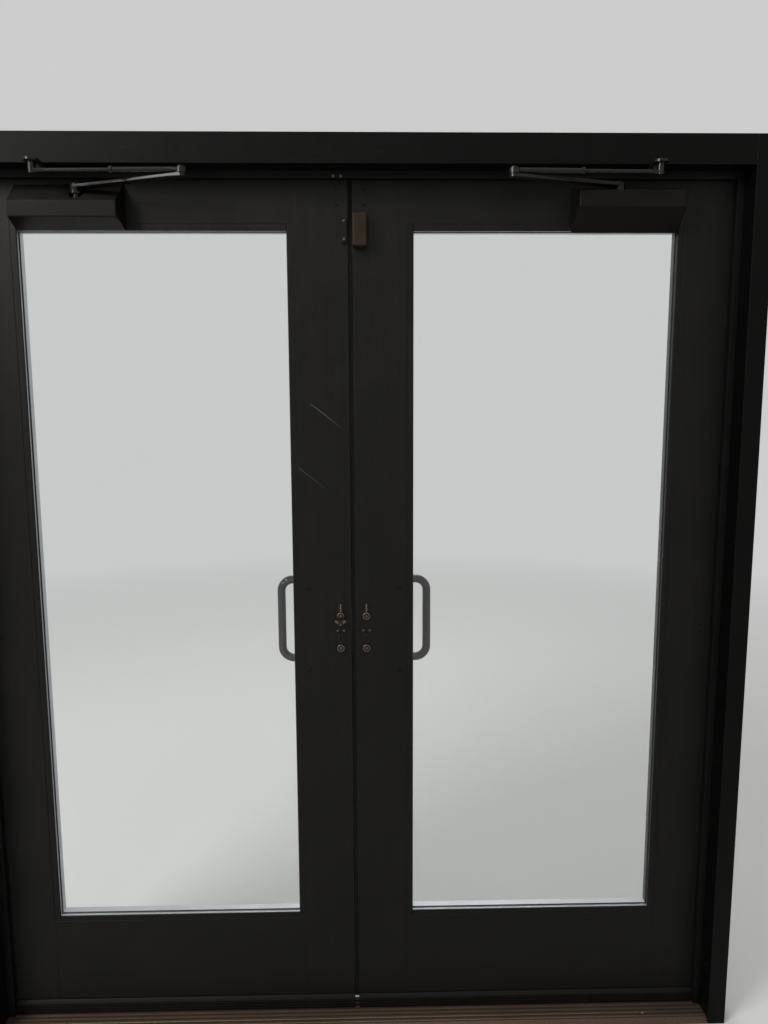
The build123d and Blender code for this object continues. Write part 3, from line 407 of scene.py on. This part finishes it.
steelSet = {
    "turnedShrink": 0.15,
    "turnedDetail": 3.0,
    "stainNoise": (45.0, 6.0, 0.7),
    "stainRange": (0.3, 0.72),
    "stainTone": 0.62,
    "edgeRange": (0.30, 0.55),
    "relief": (0.10, 0.0001),
    "idle": (0.020, 0.019, 0.018),
    "zoneFade": 0.004,
    # colour of the painted highlight line
    "line": (0.17, 0.145, 0.125),
    "lineHalfWidth": (0.0018, 0.0010),
    "lineFade": 0.002,
    # colour of the painted highlight rings and spots
    "ring": (0.145, 0.112, 0.095),
    "ringFade": 0.0006,
}

# places on the fittings, in metres aside from the meeting edges and up
fittingPlaces = {
    "lockZone": (0.05, 3.0),        # within which heads are polished by use
    "screwZone": (0.40, 2.04),
    # foot of a painted highlight line on the lock bar
    "barHighlightLine": (0.032, 1.090),
    # each a painted highlight, with the radii between which it is painted
    "boltHighlightRings": ((0.032, 1.0845, 0.0068, 0.0100), (0.032, 1.0845, 0.0, 0.0022),
                  (0.032, 1.0025, 0.0068, 0.0100), (0.032, 1.0025, 0.0, 0.0022)),
    # painted highlights on the thumb turn's two wing tips and the foot of its barrel
    "wingTipHighlights": ((0.0215, 1.0730, 0.0, 0.0050), (0.0425, 1.0730, 0.0, 0.0050), (0.032, 1.0655, 0.0, 0.0034)),
}


# 1 as far aside and up as the zone goes
def zoneMask(tree, zone):
    parts = placeParts(tree)
    fade = steelSet["zoneFade"]
    near = ramp(tree, absolute(tree, parts["X"]), zone[0] + fade, zone[0])
    return product(tree, near, ramp(tree, parts["Z"], zone[1] + fade, zone[1]))


# 1 on an upright painted highlight line from its foot upwards
def lineMask(tree, foot):
    parts = placeParts(tree)
    away = absolute(tree, maths(tree, "SUBTRACT", absolute(tree, parts["X"]), foot[0]))
    above = ramp(tree, parts["Z"], foot[1], foot[1] + steelSet["lineFade"])
    return product(tree, ramp(tree, away, *steelSet["lineHalfWidth"]), above)


# 1 between the inner and the outer radius, where a painted highlight goes
def ringMask(tree, aside, up, inner, outer):
    parts = placeParts(tree)
    flat = addNode(tree, "CombineXYZ", {"X": absolute(tree, parts["X"]), "Z": parts["Z"]})
    away = addNode(tree, "VectorMath", {0: flat.outputs["Vector"], 1: (aside, 0, up)}, operation="DISTANCE")
    fade = steelSet["ringFade"]
    return product(tree, ramp(tree, away.outputs["Value"], outer + fade, outer),
                   ramp(tree, away.outputs["Value"], inner - fade, inner))


# bare or blackened metal with short random polish marks and bright rubbed edges, with a painted highlight
# line and painted highlight rings where asked
def steelFinish(name, colour, rubbed, grain=500.0, rough=(0.28, 0.5), metallic=1.0, edgeRadius=0.0007,
                handled=None, line=None, rings=()):
    use = steelSet
    material, tree, shader = startMaterial(name, Metallic=metallic)
    turnedPlace = stretchedPlace(tree, lengthwise("z", use["turnedShrink"]))
    turned = noise(tree, turnedPlace, grain, use["turnedDetail"])
    stain = noise(tree, ownPlace(tree), *use["stainNoise"])
    tint = blendColour(tree, ramp(tree, stain, *use["stainRange"]), colour, toned(colour, use["stainTone"]))
    edges = product(tree, rubbedEdges(tree, edgeRadius), ramp(tree, stain, *use["edgeRange"]))
    tint = blendColour(tree, edges, tint, rubbed)
    if handled:
        tint = blendColour(tree, zoneMask(tree, handled), use["idle"], tint)
    # a painted highlight line
    if line:
        tint = blendColour(tree, lineMask(tree, line), tint, use["line"])
    # painted highlights: rings and spots on the bolt heads and the turn's tips
    for ring in rings:
        tint = blendColour(tree, ringMask(tree, *ring), tint, use["ring"])
    connect(tree, shader, tint, spread(tree, turned, *rough), (turned, *use["relief"]))
    return material


plasticSet = {
    "sparkNoise": (1400.0, 2.0),
    "cloudNoise": (30.0, 4.0),
    "cloudTone": 1.35,
    "edgeRadius": 0.0008,
    "edgeAmount": 0.4,
    "edgeTone": 2.2,
    "relief": (0.25, 0.00015),
}


# moulded plastic: a fine spark-eroded texture and slightly polished edges
def plasticFinish(name, colour, rough, specular):
    use = plasticSet
    material, tree, shader = startMaterial(name, Specular_IOR_Level=specular)
    spark = noise(tree, ownPlace(tree), *use["sparkNoise"])
    cloud = noise(tree, ownPlace(tree), *use["cloudNoise"])
    tint = blendColour(tree, spread(tree, cloud), colour, toned(colour, use["cloudTone"]))
    edges = product(tree, rubbedEdges(tree, use["edgeRadius"]), use["edgeAmount"])
    tint = blendColour(tree, edges, tint, toned(colour, use["edgeTone"]))
    connect(tree, shader, tint, spread(tree, cloud, *rough), (spark, *use["relief"]))
    return material


gasketSet = {
    "colour": (0.024, 0.025, 0.027),
    "specular": 0.25,
    "roughness": (0.55, 0.8),
    "bloom": (0.085, 0.085, 0.085),
    "bloomNoise": (90.0, 5.0),
    "bloomRange": (0.45, 0.8),
    "bloomAmount": 0.6,
    "dust": (0.20, 0.195, 0.185),
    "dustFacing": (0.5, 0.9),
    "dustAmount": (0.5, 0.9),
    "poreNoise": (1600.0, 2.0),
    "relief": (0.3, 0.0002),
}


# soft black rubber with a bloom, and dust where it faces up
def gasketFinish(name):
    use = gasketSet
    material, tree, shader = startMaterial(name, Specular_IOR_Level=use["specular"])
    bloom = noise(tree, ownPlace(tree), *use["bloomNoise"])
    pore = noise(tree, ownPlace(tree), *use["poreNoise"])
    bloomAmount = ramp(tree, bloom, *use["bloomRange"], 0.0, use["bloomAmount"])
    tint = blendColour(tree, bloomAmount, use["colour"], use["bloom"])
    ledge = ramp(tree, facingParts(tree)["Z"], *use["dustFacing"])
    dust = product(tree, ledge, spread(tree, pore, *use["dustAmount"]))
    tint = blendColour(tree, dust, tint, use["dust"])
    connect(tree, shader, tint, spread(tree, bloom, *use["roughness"]), (pore, *use["relief"]))
    return material


pileSet = {
    "colours": ((0.024, 0.024, 0.023), (0.150, 0.147, 0.140)),
    "specular": 0.1,
    "roughness": 0.9,
    "hairNoise": (2600.0, 2.0),
    "shrink": 0.25,
    "range": (0.15, 0.40),
    "relief": (0.8, 0.0008),
}


# woven pile: short grey hairs across the strip
def pileFinish(name):
    use = pileSet
    material, tree, shader = startMaterial(name, Specular_IOR_Level=use["specular"],
                                           Roughness=use["roughness"])
    shrink = use["shrink"]
    tufts = noise(tree, stretchedPlace(tree, (shrink, shrink, 1)), *use["hairNoise"])
    cross = noise(tree, stretchedPlace(tree, (1, shrink, shrink)), *use["hairNoise"])
    fluff = product(tree, tufts, cross)
    tint = blendColour(tree, ramp(tree, fluff, *use["range"]), *use["colours"])
    connect(tree, shader, tint, None, (fluff, *use["relief"]))
    return material


paneSet = {
    "tint": (0.965, 0.982, 0.976),
    "ior": 1.5,
    "wipedNoise": (9.0, 6.0, 0.6),
    "wipedShrink": 0.35,
    "wipedRange": (0.52, 0.75),
    "wipedRoughness": 0.035,
    "smearNoise": (30.0, 5.0, 0.6),
    "smearRange": (0.60, 0.75),
    "smearRoughness": 0.09,
    "reach": (0.80, 1.45),      # metres above the floor, where hands reach
    "reachFade": 0.3,
}


# clear float glass with a faint green body, wiped streaks and hand smears at reach height
def paneFinish(name):
    use = paneSet
    material, tree, shader = startMaterial(name, IOR=use["ior"], Transmission_Weight=1.0)
    shader.inputs["Base Color"].default_value = (*use["tint"], 1.0)
    wiped = noise(tree, stretchedPlace(tree, lengthwise("z", use["wipedShrink"])), *use["wipedNoise"])
    smear = noise(tree, ownPlace(tree), *use["smearNoise"])
    up = placeParts(tree)["Z"]
    low, high = use["reach"]
    rising = ramp(tree, up, low - use["reachFade"], low)
    falling = ramp(tree, up, high, high + use["reachFade"], 1.0, 0.0)
    film = product(tree, ramp(tree, wiped, *use["wipedRange"]), use["wipedRoughness"])
    hands = product(tree, ramp(tree, smear, *use["smearRange"]), rising, falling, use["smearRoughness"])
    tree.links.new(maths(tree, "ADD", film, hands), shader.inputs["Roughness"])
    return material


finish = {
    "upright": anodisedFinish("uprightBronze", "z"),
    # the left lock stile carries painted streaks of light
    "paintedStreaks": anodisedFinish("streakLitBronze", "z", paintedStreaks=True),
    "cross": anodisedFinish("crossBronze", "x", tone=0.98),
    # the bead finish carries painted light on its ledges
    "bead": anodisedFinish("beadBronze", "z", paintedLedgeLight=True),
    "sweep": anodisedFinish("sweepBronze", "x", tone=0.75, settled=0.15),
    # the jamb and head are the frame's own bronze toned darker: painted shade
    "shadedJamb": anodisedFinish("shadedJambBronze", "z", tone=0.38),
    "shadedHead": anodisedFinish("shadedHeadBronze", "x", tone=0.38),
    "threshold": thresholdFinish("fluteBronze"),
    "cover": paintFinish("coverPaint", (0.0062, 0.0049, 0.0043), worn=(0.04, 0.033, 0.028), chips=0.4,
                         rough=(0.36, 0.5), specular=0.11),
    "arm": paintFinish("armPaint", (0.0085, 0.0070, 0.0062), worn=(0.12, 0.10, 0.085), chips=0.10,
                       rough=(0.18, 0.28), specular=0.30),
    "casting": paintFinish("castingPaint", (0.011, 0.010, 0.009), worn=(0.09, 0.08, 0.07), chips=0.5,
                           rough=(0.4, 0.55), specular=0.2),
    "pull": steelFinish("pullBronze", (0.036, 0.034, 0.033), (0.14, 0.13, 0.125), grain=400.0,
                        rough=(0.30, 0.44), metallic=0.9),
    "black": steelFinish("blackenedSteel", (0.030, 0.027, 0.024), (0.20, 0.18, 0.16)),
    # painted highlights on the bolt heads: a ring round each and a spot in its socket; their bright rubbed
    # edges are partly wear and partly painted highlight
    "cap": steelFinish("darkCap", (0.018, 0.016, 0.014), (0.50, 0.38, 0.30), grain=900.0, edgeRadius=0.0016,
                       handled=fittingPlaces["lockZone"], rings=fittingPlaces["boltHighlightRings"]),
    # the lock plates carry a painted highlight line on the bar
    "plate": steelFinish("darkPlate", (0.034, 0.032, 0.030), (0.060, 0.056, 0.052), grain=900.0,
                         rough=(0.42, 0.6), line=fittingPlaces["barHighlightLine"]),
    "fastener": steelFinish("rubbedFastener", (0.13, 0.115, 0.10), (0.36, 0.31, 0.26), grain=900.0,
                            handled=fittingPlaces["screwZone"]),
    # the thumb turn's tips carry painted highlights
    "turn": steelFinish("rubbedTurnPaintedTips", (0.040, 0.036, 0.033), (0.12, 0.105, 0.095), grain=900.0,
                        rough=(0.30, 0.48), rings=fittingPlaces["wingTipHighlights"]),
    "screw": steelFinish("frameScrew", (0.16, 0.15, 0.14), (0.45, 0.42, 0.39), grain=900.0),
    "steel": steelFinish("dullSteel", (0.42, 0.40, 0.38), (0.70, 0.68, 0.66)),
    "brass": steelFinish("wornBrass", (0.42, 0.33, 0.17), (0.72, 0.62, 0.40), grain=700.0),
    "gasket": gasketFinish("blackGasket"),
    "pile": pileFinish("greyPile"),
    "moulded": plasticFinish("mouldedBlack", (0.0085, 0.0078, 0.0072), rough=(0.4, 0.55), specular=0.12),
    "housing": plasticFinish("mouldedBrown", (0.0195, 0.0118, 0.0068), rough=(0.36, 0.48), specular=0.13),
    "glass": paneFinish("clearPane"),
}
print("finishes made:", len(finish))


# pieces that take the place of a solid, with the same shape and finished edges

shapeSet = {
    "mergeWithin": 0.00001,
    "flatWithin": 0.4,        # degrees between faces that are made one
    "sharpest": 35.0,         # degrees, past which a corner is rounded
    "rounding": 2,            # segments
    "smoothAngle": 32.0,      # degrees, past which a corner is shaded sharp
}


def readSolid(nodeName):
    shape = bmesh.new()
    shape.from_mesh(nodes[nodeName].data)
    bmesh.ops.remove_doubles(shape, verts=shape.verts, dist=shapeSet["mergeWithin"])
    bmesh.ops.dissolve_limit(shape, angle_limit=math.radians(shapeSet["flatWithin"]),
                             verts=shape.verts, edges=shape.edges)
    return shape


# rounds the corners that run further than shortest
def breakEdges(shape, width, shortest):
    chosen = [
        edge for edge in shape.edges
        if len(edge.link_faces) == 2 and edge.calc_length() > shortest
        and edge.calc_face_angle() > math.radians(shapeSet["sharpest"])
    ]
    bmesh.ops.bevel(shape, geom=chosen, offset=width, segments=shapeSet["rounding"], profile=0.5,
                    affect="EDGES", clamp_overlap=False, material=-1)


def finishPiece(shape, name, body, material, smoothAngle=shapeSet["smoothAngle"]):
    mesh = bpy.data.meshes.new(name)
    shape.to_mesh(mesh)
    shape.free()
    mesh.shade_smooth()
    mesh.set_sharp_from_angle(angle=math.radians(smoothAngle))
    mesh.materials.append(finish[material])
    piece = bpy.data.objects.new(name, mesh)
    scene.collection.objects.link(piece)
    piece.modifiers.new("evenNormals", "WEIGHTED_NORMAL").keep_sharp = True
    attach(piece, body)
    return piece


def takePlace(piece, nodeName):
    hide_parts(nodeName)


# edge is a rounding's width and the shortest corner that gets it
def standIn(nodeName, name, body, material, edge=None, smoothAngle=shapeSet["smoothAngle"]):
    shape = readSolid(nodeName)
    if edge:
        breakEdges(shape, *edge)
    takePlace(finishPiece(shape, name, body, material, smoothAngle), nodeName)


def nameFor(side, word):
    return side + word[0].upper() + word[1:]


# frame and leaf extrusions
extrusionSet = {
    "edge": (0.0005, 0.04),
    "ownFinish": {"leftLockStile": "paintedStreaks"},
}
frameExtrusions = {
    "head_member": ("headMember", "shadedHead"), "head_stop": ("headStop", "cross"),
    "left_jamb": ("leftJamb", "shadedJamb"), "right_jamb": ("rightJamb", "shadedJamb"),
    "left_jamb_stop": ("leftJambStop", "upright"), "right_jamb_stop": ("rightJambStop", "upright"),
    "threshold": ("flutedThreshold", "threshold"),
}
leafExtrusions = {
    "hinge_stile": ("hingeStile", "upright"), "lock_stile": ("lockStile", "upright"),
    "top_rail": ("topRail", "cross"), "bottom_rail": ("bottomRail", "cross"),
    "glazing_beads": ("glazingBeads", "bead"), "bottom_sweep": ("bottomSweep", "sweep"),
}
for node, (name, material) in frameExtrusions.items():
    standIn(node, name, "frame", material, extrusionSet["edge"])
for side in sides:
    for node, (word, material) in leafExtrusions.items():
        name = nameFor(side, word)
        material = extrusionSet["ownFinish"].get(name, material)
        standIn(f"{side}_{node}", name, f"{side}_leaf", material, extrusionSet["edge"])
print("extrusions finished")


# closers, arms, pulls and fittings: turned and cast shapes with their corners broken
fittingSet = {
    "armEdge": (0.0011, 0.05),
    "castEdge": (0.0008, 0.02),
    "shoeEdge": (0.0009, 0.03),
    "plateEdge": (0.0004, 0.012),
    "housingAngle": 50.0,       # degrees, so that its small bevels shade smooth
}
for side in sides:
    leaf = f"{side}_leaf"
    forearm = f"{side}_forearm"
    standIn(f"{side}_closer_cover", nameFor(side, "closerCover"), leaf, "cover")
    standIn(f"{side}_closer_body", nameFor(side, "closerBody"), leaf, "casting", fittingSet["castEdge"])
    standIn(f"{side}_main_arm", nameFor(side, "mainArm"), f"{side}_arm", "arm", fittingSet["armEdge"])
    standIn(f"{side}_forearm_sleeve", nameFor(side, "forearmSleeve"), forearm, "arm")
    standIn(f"{side}_forearm_rod", nameFor(side, "forearmRod"), forearm, "arm")
    standIn(f"{side}_arm_shoe", nameFor(side, "armShoe"), "frame", "arm", fittingSet["shoeEdge"])
    standIn(f"{side}_pull_handle", nameFor(side, "pullHandle"), leaf, "pull")
    standIn(f"{side}_through_bolts", nameFor(side, "throughBolts"), leaf, "cap")
    standIn(f"{side}_lock_plates", nameFor(side, "lockPlates"), leaf, "plate", fittingSet["plateEdge"])
    standIn(f"{side}_door_hinge_plates", nameFor(side, "doorHingePlates"), leaf, "black")
standIn("frame_hinge_plates", "frameHingePlates", "frame", "black")
standIn("hinge_pins", "hingePins", "frame", "steel")
standIn("thumb_turn", "thumbTurn", "turn", "turn")
standIn("key_cylinder", "keyCylinder", "left_leaf", "brass")
standIn("swing_bolt", "swingBolt", "bolt", "steel", fittingSet["plateEdge"])
standIn("contact_housing", "contactHousing", "right_leaf", "housing", smoothAngle=fittingSet["housingAngle"])
standIn("magnet_bar", "magnetBar", "left_leaf", "moulded")
print("closers, arms and fittings finished")


# screw heads with a round driving recess
screwSet = {
    "rim": 0.0013,
    "slope": 0.0003,
    "depth": 0.0008,
    "cornersPast": 8,       # a head's face has more corners than this
    "facingPast": -0.9,     # and faces the room or the floor
}


def recessedScrews(nodeName, name, body, material):
    shape = readSolid(nodeName)
    heads = [face for face in shape.faces if len(face.verts) > screwSet["cornersPast"]
             and min(face.normal.y, face.normal.z) < screwSet["facingPast"]]
    bmesh.ops.inset_individual(shape, faces=heads, thickness=screwSet["rim"])
    bmesh.ops.inset_individual(shape, faces=heads, thickness=screwSet["slope"], depth=-screwSet["depth"])
    takePlace(finishPiece(shape, name, body, material), nodeName)
    return len(heads)


drilled = recessedScrews("frame_screws", "frameScrews", "frame", "screw")
for side in sides:
    drilled += recessedScrews(f"{side}_face_screws", nameFor(side, "faceScrews"), f"{side}_leaf", "fastener")
print("screw heads recessed:", drilled)


# the brushes of the two leaves lie lapped, so that no light comes through between them
lapSet = {"reach": 0.0004, "gap": 0.0001}


def lappedSeal(side):
    corners = [vertex.co for vertex in nodes[f"{side}_meeting_seal"].data.vertices]
    low = [min(corner[i] for corner in corners) for i in range(3)]
    high = [max(corner[i] for corner in corners) for i in range(3)]
    middle = (low[1] + high[1]) / 2
    tips = {"left": (lapSet["reach"], -lapSet["reach"] - lapSet["gap"]),
            "right": (lapSet["reach"] + lapSet["gap"], -lapSet["reach"])}[side]
    shape = bmesh.new()
    for tip, start, end in ((tips[0], low[1], middle), (tips[1], middle, high[1])):
        left, right = (low[0], tip) if side == "left" else (tip, high[0])
        size = Matrix.Diagonal((right - left, end - start, high[2] - low[2], 1))
        centre = Matrix.Translation(((left + right) / 2, (start + end) / 2, (low[2] + high[2]) / 2))
        bmesh.ops.create_cube(shape, size=1, matrix=centre @ size)
    piece = finishPiece(shape, nameFor(side, "meetingSeal"), f"{side}_leaf", "pile")
    takePlace(piece, f"{side}_meeting_seal")


for side in sides:
    lappedSeal(side)


# solids that keep their own mesh
kept = {"stop_seals": "pile", "lock_case": "steel", "strike_plate": "steel"}
for side in sides:
    kept.update({
        f"{side}_glass_pane": "glass",
        f"{side}_glazing_gaskets": "gasket",
        f"{side}_setting_blocks": "gasket",
    })
for node, material in kept.items():
    nodes[node].data.materials.clear()
    nodes[node].data.materials.append(finish[material])
print("plain solids finished:", len(kept))


# floor, backdrop and light
studioSet = {
    "floor": (0.62, 0.62, 0.61),
    "floorRoughness": 0.9,
    "floorSpecular": 0.1,
    "floorSize": 40.0,
    "background": (0.60, 0.605, 0.60),
    "worldStrength": 0.52,
    "fade": (2.2, 6.5),     # metres from the door, between which the floor turns into the background
}
lampSet = {
    "leftKey": {"place": (-3.8, -3.2, 4.4), "target": (-0.5, 0, 0.8), "size": 2.2, "power": 250.0},
    "overhead": {"place": (-0.4, -2.4, 5.0), "target": (0, 0, 0.6), "size": 1.6, "power": 30.0},
    "outsideSky": {"place": (0.4, 3.6, 5.2), "target": (0, 0, 1.0), "size": 2.6, "power": 150.0},
}


# 1 for rays that show a thing and 0 for those that light it
def showingRays(tree):
    rays = addNode(tree, "LightPath")
    seen = maths(tree, "MAXIMUM", rays.outputs["Is Camera Ray"], rays.outputs["Is Transmission Ray"])
    return maths(tree, "MAXIMUM", seen, rays.outputs["Is Glossy Ray"])


def plainFloor():
    shape = bmesh.new()
    bmesh.ops.create_grid(shape, x_segments=1, y_segments=1, size=studioSet["floorSize"])
    mesh = bpy.data.meshes.new("studioFloor")
    shape.to_mesh(mesh)
    shape.free()
    material, tree, shader = startMaterial("paleFloor", Roughness=studioSet["floorRoughness"],
                                           Specular_IOR_Level=studioSet["floorSpecular"])
    shader.inputs["Base Color"].default_value = (*studioSet["floor"], 1.0)
    away = addNode(tree, "VectorMath", {0: ownPlace(tree)}, operation="LENGTH")
    far = ramp(tree, away.outputs["Value"], *studioSet["fade"])
    shown = addNode(tree, "Emission", {"Color": (*studioSet["background"], 1.0), "Strength": 1.0})
    amount = product(tree, far, showingRays(tree))
    mixed = addNode(tree, "MixShader", {0: amount, 1: shader.outputs["BSDF"], 2: shown.outputs[0]})
    tree.links.new(mixed.outputs[0], tree.nodes["Material Output"].inputs["Surface"])
    mesh.materials.append(material)
    floor = bpy.data.objects.new("studioFloor", mesh)
    scene.collection.objects.link(floor)


def plainWorld():
    world = bpy.data.worlds.new("studioWorld")
    scene.world = world
    world.use_nodes = True
    tree = world.node_tree
    tree.nodes.clear()
    lit, shown = [
        addNode(tree, "Background", {"Color": (*studioSet["background"], 1.0), "Strength": strength})
        for strength in (studioSet["worldStrength"], 1.0)
    ]
    mixed = addNode(tree, "MixShader", {0: showingRays(tree), 1: lit.outputs[0], 2: shown.outputs[0]})
    addNode(tree, "OutputWorld", {"Surface": mixed.outputs[0]})


def softLamp(name, place, target, size, power):
    data = bpy.data.lights.new(name, "AREA")
    data.size = size
    data.energy = power
    lamp = bpy.data.objects.new(name, data)
    lamp.location = place
    lamp.rotation_euler = (Vector(target) - Vector(place)).to_track_quat("-Z", "Y").to_euler()
    scene.collection.objects.link(lamp)


plainFloor()
plainWorld()
for name, lamp in lampSet.items():
    softLamp(name, **lamp)
scene.view_settings.view_transform = "Standard"
print("studio ready")
